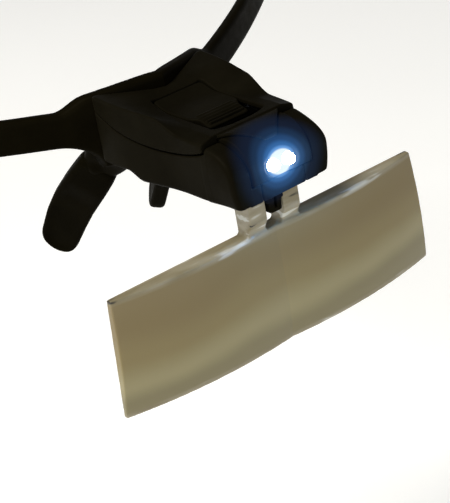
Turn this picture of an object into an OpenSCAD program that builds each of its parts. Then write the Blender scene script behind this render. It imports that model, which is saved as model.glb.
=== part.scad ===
// Spectacle-type head magnifier: a lamp console on a brow frame with a nose saddle,
// a pull-off twin lens plate under the console, and two folding temples.
// +X is the wearer's left, -Y is forward and +Z is up. The origin is the nose seat:
// the point under the saddle's arch, on the centre plane, that rests on the nose.
// Modules are drawn from a datum under the console's front, and placed() moves them.

/* [Nose seat] */
// Distance from the drawing datum back to the nose seat
seat_back = 60; // [56:1:64]
// Height of the console's underside above the nose seat
seat_drop = 12; // [10:0.5:14]

/* [Console] */
// Position of the console's front face, ahead of the datum
front_y = -1.2; // [-1.4:0.1:-1]
// Half width of the console's front
front_half = 13.4; // [13.2:0.1:13.8]
// Half width of the console where it meets the brow frame
rear_half = 16; // [15.5:0.5:17]
// Height of the console's roof
roof_z = 14.7; // [14.65:0.05:14.9]
// Height of the line where the two shells part
part_z = 9.8; // [9.5:0.1:10.4]
// Thickness of the shell walls
wall = 1.2; // [1:0.1:1.5]

/* [Lamp pod] */
// Radius of the pod's drum
pod_r = 7.9; // [7.8:0.05:7.95]
// Half width of the pod
pod_half = 8.4; // [8:0.1:8.45]
// Distance of the pod's axis behind the datum
pod_y = 6.2; // [6.1:0.05:6.3]
// Height of the pod's axis
pod_z = 6; // [5.9:0.05:6.05]
// Spacing of the two lamps
lamp_pitch = 4.2; // [4:0.1:5]
// Radius of a lamp's clear body
lamp_r = 1.5; // [1.4:0.05:1.6]

/* [Lens plate] */
// Width of the plate's top edge
plate_top_w = 87.2; // [80:0.5:92]
// Width of the plate's bottom edge
plate_foot_w = 90.7; // [84:0.5:96]
// Height of the plate
plate_h = 28.5; // [26:0.5:32]
// Gap between the console's underside and the plate
plate_drop = 10.1; // [9:0.1:12]
// Distance of the plate's flat back behind the datum
plate_back = 9.2; // [9:0.1:9.4]
// Thickness of the plate where each lens is thickest
lens_t = 5.9; // [5:0.1:6.5]
// Radius of each lens surface
lens_r = 120; // [110:5:160]
// Distance of each lens centre from the centre plane
lens_x = 15; // [12:1:20]

/* [Prongs] */
// Distance of a prong's inner face from the centre plane
prong_in = 2.4; // [2.3:0.1:2.7]
// Distance of a prong's outer face from the centre plane
prong_out = 6.8; // [6.5:0.1:7.2]
// Distance of a prong's front face behind the datum
prong_front = 3.7; // [3.5:0.1:4]
// Height of a prong's tip above the console's underside
prong_tip = 4; // [3.5:0.1:4.1]

/* [Brow frame] */
// Half the distance between the temple hinges
hinge_x = 72; // [70:0.5:76]
// Distance of the hinges behind the datum
hinge_y = 93.5; // [93:0.5:96]
// Height of the bar
bar_h = 8.2; // [7.8:0.1:8.6]
// Thickness of the bar, front to back
bar_t = 4; // [3.6:0.1:4.4]

/* [Temples] */
// Length of a temple from its hinge to its tip
temple_len = 112; // [105:1:120]
// Thickness of a temple
temple_t = 3; // [2.6:0.1:3.4]

/* [Hidden] */
$fn = 48;

eps = 0.01;
over = 1;                // how far a cut runs past the face it opens
far = 100;               // beyond everything
slack = 0.06;            // running clearance of a sliding piece, each side
seam = 0.1;              // gap along the moulded parting lines
arc_steps = 12;
black = "#1c1c18";
rubber = "#2a2820";
acrylic = [0.78, 0.78, 0.68, 0.55];
steel = "silver";

// Shared shapes

// Points along an arc, from angle a to angle b
function arc(cx, cy, r, a, b, n = arc_steps) =
    [for (i = [0:n]) [cx + r * cos(a + (b - a) * i / n), cy + r * sin(a + (b - a) * i / n)]];

// Eases from 0 to 1 as t goes from 0 to 1
function ease(t) = let (u = min(max(t, 0), 1)) u * u * (3 - 2 * u);

// A point on the other side of the centre plane
function flip(p) = [-p[0], p[1], p[2]];

module placed() translate([0, -seat_back, seat_drop]) children();

// Extrudes an outline drawn in (y, z) between two x values
module along_x(x0, x1)
    translate([x0, 0, 0]) rotate([90, 0, 90]) linear_extrude(x1 - x0) children();

// Extrudes an outline drawn in (x, z) between two y values
module along_y(y0, y1)
    translate([0, y1, 0]) rotate([90, 0, 0]) linear_extrude(y1 - y0) children();

module block(low, high) translate(low) cube(high - low);

module rod(y0, y1, r) translate([0, y0, 0]) rotate([-90, 0, 0]) cylinder(h = y1 - y0, r = r);

module both_sides() for (side = [0, 1]) mirror([side, 0, 0]) children();

// Brow bar

centre_y = 38;           // front of the bar on the centre plane
sweep_slope = 0.45;
sweep_curve = 0.0032;
bar_rise = 0.066;        // the bar climbs this much per millimetre outwards
bar_foot_z = 7.1;
bar_foot_x = 24;
bar_step = 3;
brow_top = 19.3;
brow_half = 16.5;
brow_blend = 23;
skirt_half = 15;         // half width of the bar's deep middle
sweep_steps = 6;

function bar_front(x) = centre_y + sweep_slope * abs(x) + sweep_curve * x * x;
function bar_bottom(x) = bar_foot_z + bar_rise * (abs(x) - bar_foot_x);

// The bar is deeper behind the console, by brow_extra, and blends into its plain depth outside it
brow_extra = brow_top - bar_bottom(brow_half) - bar_h;
function bar_top(x) = bar_bottom(x) + bar_h
    + brow_extra * (1 - ease((abs(x) - brow_half) / (brow_blend - brow_half)));

bar_xs = [for (x = [0:bar_step:hinge_x]) x];
bar_all = concat([for (i = [len(bar_xs) - 1:-1:1]) -bar_xs[i]], bar_xs);

module bar_plan()
    polygon(concat(
        [for (x = bar_all) [x, bar_front(x)]],
        [for (i = [len(bar_all) - 1:-1:0]) [bar_all[i], bar_front(bar_all[i]) + bar_t]]));

module bar_elevation() {
    tops = [for (x = bar_all) [x, bar_top(x)]];
    foots = [for (i = [len(bar_xs) - 1:-1:0])
        if (bar_xs[i] >= bar_foot_x) [bar_xs[i], bar_bottom(bar_xs[i])]];
    sweep_in = [for (i = [1:sweep_steps]) let (t = i / sweep_steps)
        [bar_foot_x - (bar_foot_x - skirt_half) * sin(90 * t), bar_foot_z * cos(90 * t)]];
    half = concat(foots, sweep_in);
    polygon(concat(tops, half, [for (i = [len(half) - 1:-1:0]) [-half[i][0], half[i][1]]]));
}

// Hinge at each end of the bar: two leaves on the frame hold one leaf of the temple

hinge_r = 3.2;
hinge_screw_r = 0.9;
leaf_low = 12.5;         // lower face of the temple's leaf
leaf_high = 17.5;
knuckle_low = 10.6;
knuckle_high = 19.6;
hinge_gap = 0.15;
hinge_clear = 0.5;       // room in front of the temple's round leaf
hinge_sink = 1;          // how far the hinge is let into the bar

module knuckle(z0, z1) translate([hinge_x, hinge_y, z0]) cylinder(h = z1 - z0, r = hinge_r);

module hinge_root() {
    knuckle(knuckle_low, knuckle_high);
    block([hinge_x - hinge_r, bar_front(hinge_x) + hinge_sink, knuckle_low],
          [hinge_x + hinge_r, hinge_y, knuckle_high]);
}

// What is cut out of the frame at a hinge: the leaf's gap, the screw's bore and its head's seat
module hinge_cuts() {
    block([hinge_x - 2 * hinge_r, hinge_y - hinge_r - hinge_clear, leaf_low - hinge_gap],
          [hinge_x + 2 * hinge_r, hinge_y + 2 * hinge_r, leaf_high + hinge_gap]);
    translate([hinge_x, hinge_y, 0]) cylinder(h = far, r = hinge_screw_r);
    translate([hinge_x, hinge_y, knuckle_high - screw_head_t])
        cylinder(h = screw_head_t + over, r = hinge_head_r + slack);
}

// Nose saddle: two arms and an arched web between them

arm_root = [12.5, 48.5, 4];
arm_elbow = [12.4, 55.5, -3];
arm_end = [12.2, 60.5, -9];
web_low = [5.6, 60.2, -8.6];
arm_r = [3.2, 2.8, 2.1];
flange_half = 12.5;
flange_front = 36.4;
floor_rise = 2;          // the console's floor steps up this much over the flange
frame_screw = [6.5, 38.3];
frame_boss_top = 6;

ball_facets = 24;
module ball(p, r) translate(p) sphere(r = r, $fn = ball_facets);

module saddle_arm() {
    hull() {
        ball(arm_root, arm_r[0]);
        ball(arm_elbow, arm_r[1]);
    }
    hull() {
        ball(arm_elbow, arm_r[1]);
        ball(arm_end, arm_r[2]);
    }
}

module saddle_web()
    hull() {
        for (p = [arm_elbow, web_low]) {
            ball(p, arm_r[2]);
            ball(flip(p), arm_r[2]);
        }
    }

module brow_frame()
    color(black) placed() {
        difference() {
            union() {
                intersection() {
                    linear_extrude(2 * brow_top) bar_plan();
                    along_y(0, far) bar_elevation();
                }
                block([-flange_half, flange_front, 0], [flange_half, arm_root[1], floor_rise - seam / 2]);
                both_sides() hinge_root();
            }
            both_sides() hinge_cuts();
            for (side = [-1, 1])
                translate([side * frame_screw[0], frame_screw[1], -over]) {
                    cylinder(h = over + frame_boss_top, r = screw_r);
                    cylinder(h = over + screw_head_t, r = screw_head_r + slack);
                }
        }
        both_sides() saddle_arm();
        saddle_web();
    }

// Nose pads: rubber paddles, each spanned by its axis and its width direction

pad_tip = [16.2, 77, -27.6];
pad_wide = [-0.57, -0.6, -0.56];   // width direction of the left pad
pad_gap = 2.2;                     // the pad starts this far past the arm's end
pad_r = 2;
// Rows of balls that span a pad: share of its length, and both places across it
pad_rows = [[0, -3.2, 3.2], [0.5, -3.9, 3.8], [0.95, -2.2, 2.8]];

function pad_point(t, w) = let (
        start = arm_end + pad_gap * (pad_tip - arm_end) / norm(pad_tip - arm_end))
    start + t * (pad_tip - start) + w * pad_wide;

module nose_pad()
    hull()
        for (row = pad_rows, w = [row[1], row[2]]) ball(pad_point(row[0], w), pad_r);

module pad_of_side(side)
    color(rubber) placed() mirror([side, 0, 0]) difference() {
        nose_pad();
        hull() {
            ball(arm_elbow, arm_r[1] + seam);
            ball(arm_end, arm_r[2] + seam);
        }
    }

module nose_pad_right() pad_of_side(1);
module nose_pad_left() pad_of_side(0);

// Console shells

flare_start = 16;
flare_end = 40;
corner_r = 1.8;
corner_steps = 6;
side_step = 4;
roof_step = 2;
top_half = 8.5;          // half width of the roof's flat
shoulder_drop = 0.42;    // the shoulders fall this much per millimetre
rise_start = 30;
rise_end = 42;
roof_rise = 1.2;         // the roof climbs this much towards the brow frame
step_start = 31;
step_end = 36;
cheek_end = 9.6;         // the cheeks beside the pod reach this far back
cheek_half = 8.6;        // inner face of each cheek
cheek_front_z = 6.8;
cheek_top_z = 13.2;
cheek_steps = 10;
lip_r = 8.0;             // underside of the lip over the pod
lip_t = 0.7;
lip_end = 170;           // the lip is trimmed to its outline short of this angle
lip_tip = [1.4, 1.2];
lip_root = 8.8;

function console_half(y) =
    front_half + (rear_half - front_half) * ease((y - flare_start) / (flare_end - flare_start));
function roof(y) = roof_z + roof_rise * ease((y - rise_start) / (rise_end - rise_start));

module console_plan(inset) {
    last = bar_front(rear_half) - seam - inset;
    right = concat(
        arc(front_half - corner_r, front_y + corner_r, corner_r - inset, -90, 0, corner_steps),
        [for (y = [flare_start:side_step:last]) [console_half(y) - inset, y]],
        [for (x = [rear_half - inset:-side_step:0]) [x, bar_front(x) - seam - inset]]);
    polygon(concat(right, [for (i = [len(right) - 1:-1:0]) [-right[i][0], right[i][1]]]));
}

module console_profile(inset)
    polygon(concat(
        [[front_y - over, inset], [front_y - over, roof_z - inset]],
        [for (y = [rise_start:roof_step:seat_back]) [y, roof(y) - inset]],
        [[seat_back, floor_rise + inset], [step_end, floor_rise + inset], [step_start, inset]]));

module console_section(inset) {
    edge = rear_half + over;
    ridge = roof_z + roof_rise;
    fall = shoulder_drop * (edge - top_half);
    polygon([
        [-edge, -over], [edge, -over], [edge, ridge - fall - inset], [top_half, ridge - inset],
        [-top_half, ridge - inset], [-edge, ridge - fall - inset]]);
}

module console_volume(inset)
    intersection() {
        linear_extrude(2 * roof_z) console_plan(inset);
        along_x(-2 * rear_half, 2 * rear_half) console_profile(inset);
        along_y(-far, far) console_section(inset);
    }

module cheek_profile()
    polygon(concat(
        [[front_y, 0]],
        [for (i = [0:cheek_steps]) let (a = 90 * i / cheek_steps)
            [cheek_end - (cheek_end - front_y) * cos(a),
             cheek_front_z + (cheek_top_z - cheek_front_z) * sin(a)]],
        [[cheek_end, 0]]));

module below_part() block([-far, -far, -far], [far, far, part_z - seam / 2]);
module above_part() block([-far, cheek_end + seam, part_z + seam / 2], [far, far, far]);

screw_r = 0.9;
screw_head_r = 1.8;
screw_head_t = 1;
hinge_head_r = 1.8;
boss_r = 2.2;
boss_low = 1;
boss_spots = [[9.6, 21.2], [10.9, 30]];

module at_bosses()
    for (spot = boss_spots, side = [-1, 1])
        translate([side * spot[0], spot[1], 0]) children();

slot_y = 11.6;           // front end of the switch's slot
slot_len = 6.2;
slot_z = 4.1;
slot_h = 2.5;
rib_in = 5.05;           // inner face of the ribs that hold the contacts
rib_out = 6.2;
bay_front = 20;
bay_back = 32.2;
rib_top = 9;

socket_half = 8.5;
chin_half = 6;
chin_back = 1.3;
socket_back = 10.6;
socket_top = 4.15;

module lower_shell()
    color(black) placed() difference() {
        union() {
            difference() {
                intersection() {
                    console_volume(0);
                    below_part();
                }
                intersection() {
                    console_volume(wall);
                    block([-far, cheek_end, wall], [far, far, far]);
                }
                block([-cheek_half, chin_back, -over], [cheek_half, socket_back + seam, far]);
                block([-far, -far, -over], [far, cheek_end, far]);
            }
            both_sides() {
                intersection() {
                    along_x(cheek_half, front_half) cheek_profile();
                    linear_extrude(2 * roof_z) console_plan(0);
                }
                block([chin_half + seam, front_y, 0], [cheek_half + eps, chin_back, socket_top]);
                block([rib_in, bay_front, wall - eps], [rib_out, bay_back, rib_top]);
            }
            at_bosses() cylinder(h = part_z - seam, r = boss_r);
            for (side = [-1, 1])
                translate([side * frame_screw[0], frame_screw[1], floor_rise])
                    cylinder(h = frame_boss_top - floor_rise, r = boss_r);
        }
        at_bosses() {
            translate([0, 0, -over]) cylinder(h = far, r = screw_r + slack);
            translate([0, 0, -over]) cylinder(h = over + boss_low, r = screw_head_r + slack);
        }
        for (side = [-1, 1])
            translate([side * frame_screw[0], frame_screw[1], -over])
                cylinder(h = frame_boss_top, r = screw_r);
        translate([0, pod_y, pod_z]) rotate([0, 90, 0])
            cylinder(h = 2 * pin_out, r = pin_r, center = true);
        block([front_half - 2 * wall, slot_y, slot_z],
              [2 * front_half, slot_y + slot_len, slot_z + slot_h]);
    }

// Battery cover in the roof, with a finger gap in front of it

cover_half = 7;
cover_front = 14.8;
cover_back = 34;
cover_gap = 4.4;
cover_t = 1.5;
cover_proud = 0.5;
rail_half = 7.8;
rail_t = 0.7;
recess_t = 0.6;          // thickness of the curved floor of the finger gap
recess_arc = [80, 35];

// Floor of the finger gap, curved round the back of the pod's drum
module recess_floor()
    along_x(-rail_half, rail_half) polygon(concat(
        arc(pod_y, pod_z, lip_r + recess_t, recess_arc[0], recess_arc[1]),
        arc(pod_y, pod_z, lip_r, recess_arc[1], recess_arc[0])));

module upper_shell()
    color(black) placed() {
        difference() {
            union() {
                difference() {
                    intersection() {
                        console_volume(0);
                        above_part();
                    }
                    console_volume(wall);
                }
                intersection() {
                    along_x(-socket_half, socket_half) lip_profile();
                    linear_extrude(2 * roof_z) lip_plan();
                }
                difference() {
                    intersection() {
                        at_bosses() translate([0, 0, part_z]) cylinder(h = roof_z, r = boss_r);
                        console_volume(wall / 2);
                    }
                    block([-far, -far, -over], [far, far, part_z + seam / 2]);
                }
            }
            block([-cover_half - slack, cover_front - cover_gap, part_z],
                  [cover_half + slack, cover_back + slack, far]);
            block([-rail_half - slack, cover_front - cover_gap, rail_z - slack],
                  [rail_half + slack, cover_back + slack, rail_z + rail_t + slack]);
            at_bosses() cylinder(h = screw_tip, r = screw_r);
            at_pod() rotate([0, 90, 0]) cylinder(h = 2 * socket_half, r = lip_r, center = true);
        }
        recess_floor();
    }

rail_z = roof_z - cover_t;
screw_tip = 12.6;

module lip_profile() {
    outer = lip_r + lip_t;
    polygon(concat(
        arc(pod_y, pod_z, outer, 90, lip_end),
        arc(pod_y, pod_z, lip_r, lip_end, 90),
        [[cheek_end + 2 * seam, pod_z + lip_r], [cheek_end + 2 * seam, pod_z + outer]]));
}

module lip_plan()
    polygon([
        [-socket_half, cheek_end + 2 * seam], [-socket_half, lip_root], [-lip_tip[0], lip_tip[1]],
        [lip_tip[0], lip_tip[1]], [socket_half, lip_root], [socket_half, cheek_end + 2 * seam]]);

grip_ribs = 4;
grip_pitch = 1.3;
grip_start = 1.5;        // the first rib's distance behind the cover's front
grip_w = 0.6;
grip_h = 0.3;
grip_side = 2;           // the ribs stop this far from the cover's sides

module battery_cover()
    color(black) placed() {
        block([-cover_half, cover_front, rail_z], [cover_half, cover_back, roof_z + cover_proud]);
        block([-rail_half, cover_front, rail_z], [rail_half, cover_back, rail_z + rail_t]);
        for (i = [0:grip_ribs - 1])
            translate([0, cover_front + grip_start + grip_pitch * i, roof_z])
                block([grip_side - cover_half, 0, 0],
                      [cover_half - grip_side, grip_w, cover_proud + grip_h]);
    }

// Socket block: the chin, two prong slots and the split tongue between the prongs

tongue_front = 3;
tongue_back = 7;
tongue_half = [2.3, 1.8];
tongue_z = [-3.2, -6.1];
slit = 0.7;
slit_z = [-4.8, -1.2];
slit_depth = 1.6;

module lens_socket()
    color(black) placed() difference() {
        union() {
            block([-chin_half, front_y, 0], [chin_half, chin_back + eps, socket_top]);
            block([-socket_half, chin_back, 0], [socket_half, socket_back, socket_top]);
            block([-tongue_half[0], tongue_front, tongue_z[0]], [tongue_half[0], tongue_back, eps]);
            block([-tongue_half[1], tongue_front, tongue_z[1]], [tongue_half[1], tongue_back, 0]);
        }
        both_sides()
            block([prong_in - slack, prong_front - slack, -over],
                  [prong_out + slack, plate_back + slack, socket_top + over]);
        block([-slit / 2, tongue_front - over, slit_z[0]],
              [slit / 2, tongue_front + slit_depth, slit_z[1]]);
    }

// Three button cells in a stack across the console, between two contacts

cell_r = 5.8;
cell_t = 3.04;
cell_y = 26.1;
cell_z = 7.1;
rim_r = 4.6;
rim_t = 0.4;
contact_t = 0.4;
contact_half = 4.4;
contact_z = [2, 11.5];
tab_len = 1.5;           // a contact's tab reaches this far in front of the battery bay
tab_h = 2;

// A cell, counted from the middle one, which is number 0
module cell(i)
    color(steel) placed() translate([(i - 1 / 2) * (cell_t + eps), cell_y, cell_z]) rotate([0, 90, 0]) {
        cylinder(h = cell_t - rim_t, r = cell_r);
        translate([0, 0, cell_t - rim_t - eps]) cylinder(h = rim_t, r = rim_r);
    }

module battery_cell_right() cell(-1);
module battery_cell_middle() cell(0);
module battery_cell_left() cell(1);

module contact(side)
    color(steel) placed() mirror([side, 0, 0]) {
        block([rib_in - contact_t - seam / 2, cell_y - contact_half, contact_z[0]],
              [rib_in - seam / 2, cell_y + contact_half, contact_z[1]]);
        block([rib_in - contact_t - seam / 2, bay_front - tab_len, contact_z[0]],
              [rib_in - seam / 2, cell_y, contact_z[0] + tab_h]);
    }

module contact_positive() contact(0);
module contact_negative() contact(1);

lead_r = 0.5;
lead_end = 12.2;

module lead(side, shade)
    color(shade) placed()
        translate([side * (rib_in - contact_t / 2 - seam / 2), 0, contact_z[0] + tab_h / 2])
            rod(lead_end, bay_front - tab_len, lead_r);

module lead_positive() lead(1, "#8a1c1c");
module lead_negative() lead(-1, "#111111");

// Slide switch in the wearer's-left wall

switch_low = 3.2;
switch_high = 7.6;
switch_in = 7.6;
switch_out = 11.2;
knob_len = 3;
knob_out = 14.1;
knob_half = 1.15;
knob_ribs = 3;
knob_pitch = 0.9;
knob_rib = 0.45;         // width of a rib on the knob
knob_rib_h = 0.35;
switch_rim = 0.4;        // the body reaches this far past each end of the slot
knob_rest = 0.1;         // gap between the knob and the slot's end when it is off

module switch_body()
    color("dimgray") placed()
        block([switch_in, slot_y - switch_rim, switch_low],
              [switch_out, slot_y + slot_len + switch_rim, switch_high]);

module switch_slider()
    color("#333330") placed() translate([0, slot_y + knob_rest, slot_z + slot_h / 2]) {
        block([switch_out + slack, 0, -knob_half], [knob_out, knob_len, knob_half]);
        for (i = [0:knob_ribs - 1])
            translate([knob_out - eps, knob_rib + knob_pitch * i, 0])
                block([0, -knob_rib / 2, -knob_half], [knob_rib_h, knob_rib / 2, knob_half]);
    }

// Lamp pod: a drum sector between the cheeks, on two pins

pod_wall = 1.2;
pod_foot = 4.4;
pod_end_angle = 66;      // the drum ends here, behind its highest point
pin_r = 1;
pin_in = 6.6;
pin_out = 11;
pod_boss_r = pod_z - pod_foot;
pod_end_t = 1.5;         // thickness of the pod's end walls
drum_steps = 30;
lamp_z = 7.2;

// Outline of the drum, hollow to radius r0, or filled out to a round boss on its axis when r0 is 0
module pod_sector(r0)
    polygon(concat(
        arc(0, 0, pod_r, pod_end_angle, 180 + asin(pod_boss_r / pod_r), drum_steps),
        r0 > 0
            ? arc(0, 0, r0, 180 + asin(pod_boss_r / r0), pod_end_angle, drum_steps)
            : arc(0, 0, pod_boss_r, -90, 0)));

module at_pod() translate([0, pod_y, pod_z]) children();

module lamp_pod()
    color(black) placed() difference() {
        at_pod() {
            along_x(-pod_half, pod_half) pod_sector(pod_r - pod_wall);
            both_sides() along_x(pod_half - pod_end_t, pod_half) pod_sector(0);
        }
        at_pod() rotate([0, 90, 0]) cylinder(h = far, r = pin_r + slack, center = true);
        for (side = [-1, 1])
            translate([side * lamp_pitch / 2, 0, lamp_z]) rod(-far, lamp_back, lamp_r);
    }

lamp_tip = -2.3;         // centre of the lamp's dome
lamp_back = 1.4;
flange_y = [0.4, 1.4];
lamp_flange_r = 1.9;
leg_r = 0.25;
leg_x = 0.65;
leg_back = 3.4;
board_y = [1.9, 2.9];
board_half = 6;
board_z = [5, 10];

module lamp(side)
    color("white") placed() translate([side * lamp_pitch / 2, 0, lamp_z]) {
        rod(lamp_tip, lamp_back, lamp_r);
        translate([0, lamp_tip, 0]) sphere(r = lamp_r);
        rod(flange_y[0], flange_y[1], lamp_flange_r);
        for (leg = [-1, 1]) translate([leg * leg_x, 0, 0]) rod(lamp_back - eps, leg_back, leg_r);
    }

module lamp_right() lamp(-1);
module lamp_left() lamp(1);

module lamp_board()
    color("darkgreen") placed() difference() {
        block([-board_half, board_y[0], board_z[0]], [board_half, board_y[1], board_z[1]]);
        for (side = [-1, 1], leg = [-1, 1])
            translate([side * lamp_pitch / 2 + leg * leg_x, 0, lamp_z]) rod(0, far, leg_r);
    }

module pod_pins()
    color(steel) placed() at_pod() both_sides()
        translate([pin_in, 0, 0]) rotate([0, 90, 0]) cylinder(h = pin_out - pin_in, r = pin_r);

// Lens plate: a flat back and two convex fronts side by side, on two prongs

plate_top = -plate_drop;
plate_foot = -plate_drop - plate_h;
prong_root = 2;
blank_r = 36;
blank_steps = 18;
blank_facets = 120;

module half_outline()
    polygon([
        [0, plate_top], [plate_top_w / 2, plate_top],
        [plate_foot_w / 2, plate_foot], [0, plate_foot]]);

// Thickness of a lens at a distance from its centre
function lens_rise(d) = lens_t - lens_r + sqrt(lens_r * lens_r - d * d);

module lens_blank()
    rotate([90, 0, 0]) rotate_extrude($fn = blank_facets)
        polygon(concat([[0, 0], [blank_r, 0]], [for (i = [blank_steps:-1:0])
            let (d = blank_r * i / blank_steps) [d, lens_rise(d)]]));

module lens_plate()
    color(acrylic) placed() {
        both_sides() {
            intersection() {
                along_y(plate_back - 2 * lens_t, plate_back) half_outline();
                translate([lens_x, plate_back, plate_top - plate_h / 2]) lens_blank();
            }
            block([prong_in, prong_front, plate_top - prong_root], [prong_out, plate_back, prong_tip]);
        }
    }

// Temples: each starts as a leaf in its hinge and droops to a rubber tip

temple_depth = 8.4;      // height of the temple behind its hinge
temple_waist = 6;
temple_mid = 60;
tip_start = 66;
tip_drop = 24;
tip_grow = 0.9;
tip_depth = 7.4;
tang_len = 8;
droop_start = 76;
droop_power = 1.5;
tang_half = 1;
tang_depth = 3.6;
mid_z = (leaf_low + leaf_high) / 2;
leaf_back = 9;
leaf_r = hinge_r - 0.4;
arm_front = hinge_r + 2; // the temple's full depth starts this far behind the hinge
arm_bevel = 1;

// How far along its droop a temple is at a distance behind the hinge
function droop(d) = max(0, (d - droop_start) / (temple_len - droop_start));

// Height of the temple's middle line there, and the angle of that line
function temple_line(d) = mid_z - tip_drop * pow(droop(d), droop_power);
function temple_angle(d) =
    -atan(droop_power * tip_drop * pow(droop(d), droop_power - 1) / (temple_len - droop_start));

// A point on the upper (side 1) or lower (side -1) edge of a tip
function tip_edge(d, side) = [d, temple_line(d)]
    + side * tip_depth / 2 * [-sin(temple_angle(d)), cos(temple_angle(d))];

module temple_side(side)
    color(black) placed() mirror([side, 0, 0]) {
        difference() {
            union() {
                translate([hinge_x, hinge_y, leaf_low]) cylinder(h = leaf_high - leaf_low, r = leaf_r);
                block([hinge_x - temple_t / 2, hinge_y, leaf_low],
                      [hinge_x + temple_t / 2, hinge_y + leaf_back, leaf_high]);
            }
            translate([hinge_x, hinge_y, 0]) cylinder(h = far, r = hinge_screw_r + slack);
        }
        along_x(hinge_x - temple_t / 2, hinge_x + temple_t / 2) translate([hinge_y, mid_z]) polygon([
            [arm_front, arm_bevel - temple_depth / 2], [arm_front + arm_bevel, -temple_depth / 2],
            [temple_mid, -temple_waist / 2], [tip_start - eps, -temple_waist / 2],
            [tip_start - eps, temple_waist / 2], [temple_mid, temple_waist / 2],
            [arm_front + arm_bevel, temple_depth / 2], [arm_front, temple_depth / 2 - arm_bevel]]);
        block([hinge_x - tang_half, hinge_y + tip_start - over, mid_z - tang_depth / 2],
              [hinge_x + tang_half, hinge_y + tip_start + tang_len, mid_z + tang_depth / 2]);
    }

module temple_right() temple_side(1);
module temple_left() temple_side(0);

tip_steps = 10;
tip_end = temple_len - tip_depth / 2;
tip_ds = [for (i = [0:tip_steps]) tip_start + seam + (tip_end - tip_start - seam) * i / tip_steps];

module tip_side(side)
    color(rubber) placed() mirror([side, 0, 0]) difference() {
        along_x(hinge_x - temple_t / 2 - tip_grow, hinge_x + temple_t / 2 + tip_grow)
            translate([hinge_y, 0]) polygon(concat(
                [for (d = tip_ds) tip_edge(d, 1)],
                arc(tip_end, temple_line(tip_end), tip_depth / 2,
                    temple_angle(tip_end) + 90, temple_angle(tip_end) - 90),
                [for (i = [tip_steps:-1:0]) tip_edge(tip_ds[i], -1)]));
        block([hinge_x - tang_half - slack, hinge_y, mid_z - tang_depth / 2 - slack],
              [hinge_x + tang_half + slack, hinge_y + tip_start + tang_len + slack,
               mid_z + tang_depth / 2 + slack]);
    }

module temple_tip_right() tip_side(1);
module temple_tip_left() tip_side(0);

// Fasteners

screw_slot = 0.5;        // width of a screw's driver slot
slot_depth = 0.4;
screw_short = 0.3;       // a screw stops this far short of its hole's end

module hinge_screw(side)
    color(steel) placed() mirror([side, 0, 0]) translate([hinge_x, hinge_y, 0]) {
        translate([0, 0, knuckle_low + screw_short])
            cylinder(h = knuckle_high - knuckle_low - screw_head_t, r = hinge_screw_r);
        difference() {
            translate([0, 0, knuckle_high - screw_head_t]) cylinder(h = screw_head_t, r = hinge_head_r);
            block([-far, -screw_slot / 2, knuckle_high - slot_depth], [far, screw_slot / 2, far]);
        }
    }

module hinge_screw_right() hinge_screw(1);
module hinge_screw_left() hinge_screw(0);

cross_half = 1.2;        // half the span of a cross slot

module shell_screws()
    color(steel) placed() at_bosses() {
        cylinder(h = screw_tip - screw_short, r = screw_r);
        difference() {
            cylinder(h = boss_low - slack, r = screw_head_r);
            for (turn = [0, 90]) rotate(turn)
                block([-cross_half, -screw_slot / 2, -over], [cross_half, screw_slot / 2, slot_depth]);
        }
    }

module frame_screws()
    color(steel) placed() for (side = [-1, 1]) translate([side * frame_screw[0], frame_screw[1], 0]) {
        translate([0, 0, screw_head_t - eps])
            cylinder(h = frame_boss_top - screw_head_t - over - screw_short, r = screw_r);
        cylinder(h = screw_head_t, r = screw_head_r);
    }

brow_frame();
nose_pad_right();
nose_pad_left();
lower_shell();
upper_shell();
battery_cover();
lens_socket();
battery_cell_right();
battery_cell_middle();
battery_cell_left();
contact_positive();
contact_negative();
lead_positive();
lead_negative();
switch_body();
switch_slider();
lamp_pod();
lamp_right();
lamp_left();
lamp_board();
pod_pins();
lens_plate();
temple_right();
temple_left();
temple_tip_right();
temple_tip_left();
hinge_screw_right();
hinge_screw_left();
shell_screws();
frame_screws();
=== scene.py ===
import math

import bpy
import numpy as np
from mathutils import Matrix, Vector


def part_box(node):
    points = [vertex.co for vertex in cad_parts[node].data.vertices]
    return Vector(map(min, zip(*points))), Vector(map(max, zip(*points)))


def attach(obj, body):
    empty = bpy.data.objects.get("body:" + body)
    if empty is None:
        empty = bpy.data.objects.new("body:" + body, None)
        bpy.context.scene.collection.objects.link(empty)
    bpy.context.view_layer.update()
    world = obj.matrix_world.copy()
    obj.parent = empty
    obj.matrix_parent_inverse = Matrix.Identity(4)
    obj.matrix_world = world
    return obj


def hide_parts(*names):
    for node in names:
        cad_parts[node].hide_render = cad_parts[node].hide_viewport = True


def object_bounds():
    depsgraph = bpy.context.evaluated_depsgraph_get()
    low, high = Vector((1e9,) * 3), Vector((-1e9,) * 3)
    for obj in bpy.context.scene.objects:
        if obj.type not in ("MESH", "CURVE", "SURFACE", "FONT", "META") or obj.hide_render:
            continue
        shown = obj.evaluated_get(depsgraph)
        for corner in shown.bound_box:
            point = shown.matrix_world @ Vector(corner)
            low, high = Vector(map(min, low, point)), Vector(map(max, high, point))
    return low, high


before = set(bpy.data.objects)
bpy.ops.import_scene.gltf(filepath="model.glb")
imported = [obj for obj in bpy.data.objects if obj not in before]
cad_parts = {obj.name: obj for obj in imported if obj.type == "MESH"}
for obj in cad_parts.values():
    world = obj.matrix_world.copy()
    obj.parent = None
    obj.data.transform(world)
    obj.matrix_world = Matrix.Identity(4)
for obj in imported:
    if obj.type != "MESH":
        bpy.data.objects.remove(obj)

CAD_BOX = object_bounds()

# Sizes below are in millimetres, in the console's own frame: x is the wearer's left, y runs back
# from just behind the console's front and z runs up from its underside.
MM = 0.001
SHELL_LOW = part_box("lower_shell")[0]
FRONT_Y = -1.2
ORIGIN = Vector((0, SHELL_LOW.y - FRONT_Y * MM, SHELL_LOW.z))


# Fields: each takes points (n, 3) and gives about the distance to a surface, negative inside


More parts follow.
